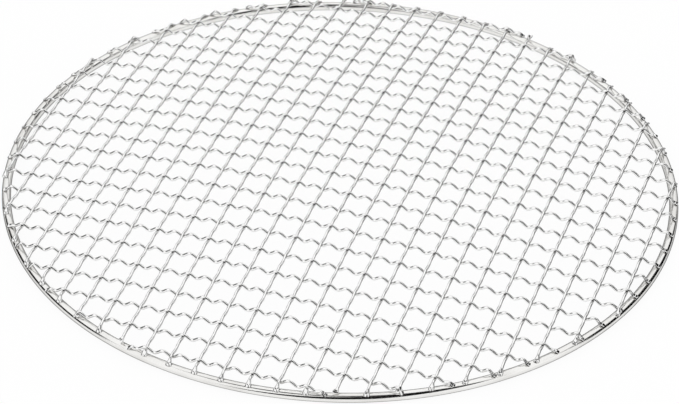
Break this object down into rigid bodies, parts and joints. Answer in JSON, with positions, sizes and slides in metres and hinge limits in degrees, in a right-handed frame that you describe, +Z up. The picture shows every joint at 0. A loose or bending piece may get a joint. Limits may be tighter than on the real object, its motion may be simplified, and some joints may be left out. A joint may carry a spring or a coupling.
{
  "type": "grill net",
  "caption": "Round domed grill net: crimped stainless wires woven over and under each other, their ends welded on a ring of thick rod, to lay over a fire or grill pan.",
  "frame": {"origin": "centre of the ring, on the plane that the ring's underside lies on", "axes": "+Z up, out of the crown of the domed net; X along the weft wires, Y along the warp wires"},
  "size_m": [0.3, 0.3, 0.0172],
  "materials": {
    "rim_rod": "bright drawn stainless rod",
    "net_wire": "bright drawn stainless wire"
  },
  "bodies": {
    "root": {"rim_ring": "rim_rod", "warp_wire_01": "net_wire", "warp_wire_02": "net_wire", "warp_wire_03": "net_wire", "warp_wire_04": "net_wire", "warp_wire_05": "net_wire", "warp_wire_06": "net_wire", "warp_wire_07": "net_wire", "warp_wire_08": "net_wire", "warp_wire_09": "net_wire", "warp_wire_10": "net_wire", "warp_wire_11": "net_wire", "warp_wire_12": "net_wire", "warp_wire_13": "net_wire", "warp_wire_14": "net_wire", "warp_wire_15": "net_wire", "warp_wire_16": "net_wire", "warp_wire_17": "net_wire", "warp_wire_18": "net_wire", "warp_wire_19": "net_wire", "warp_wire_20": "net_wire", "warp_wire_21": "net_wire", "warp_wire_22": "net_wire", "warp_wire_23": "net_wire", "warp_wire_24": "net_wire", "warp_wire_25": "net_wire", "weft_wire_01": "net_wire", "weft_wire_02": "net_wire", "weft_wire_03": "net_wire", "weft_wire_04": "net_wire", "weft_wire_05": "net_wire", "weft_wire_06": "net_wire", "weft_wire_07": "net_wire", "weft_wire_08": "net_wire", "weft_wire_09": "net_wire", "weft_wire_10": "net_wire", "weft_wire_11": "net_wire", "weft_wire_12": "net_wire", "weft_wire_13": "net_wire", "weft_wire_14": "net_wire", "weft_wire_15": "net_wire", "weft_wire_16": "net_wire", "weft_wire_17": "net_wire", "weft_wire_18": "net_wire", "weft_wire_19": "net_wire", "weft_wire_20": "net_wire", "weft_wire_21": "net_wire", "weft_wire_22": "net_wire", "weft_wire_23": "net_wire", "weft_wire_24": "net_wire", "weft_wire_25": "net_wire"}
  },
  "joints": []
}
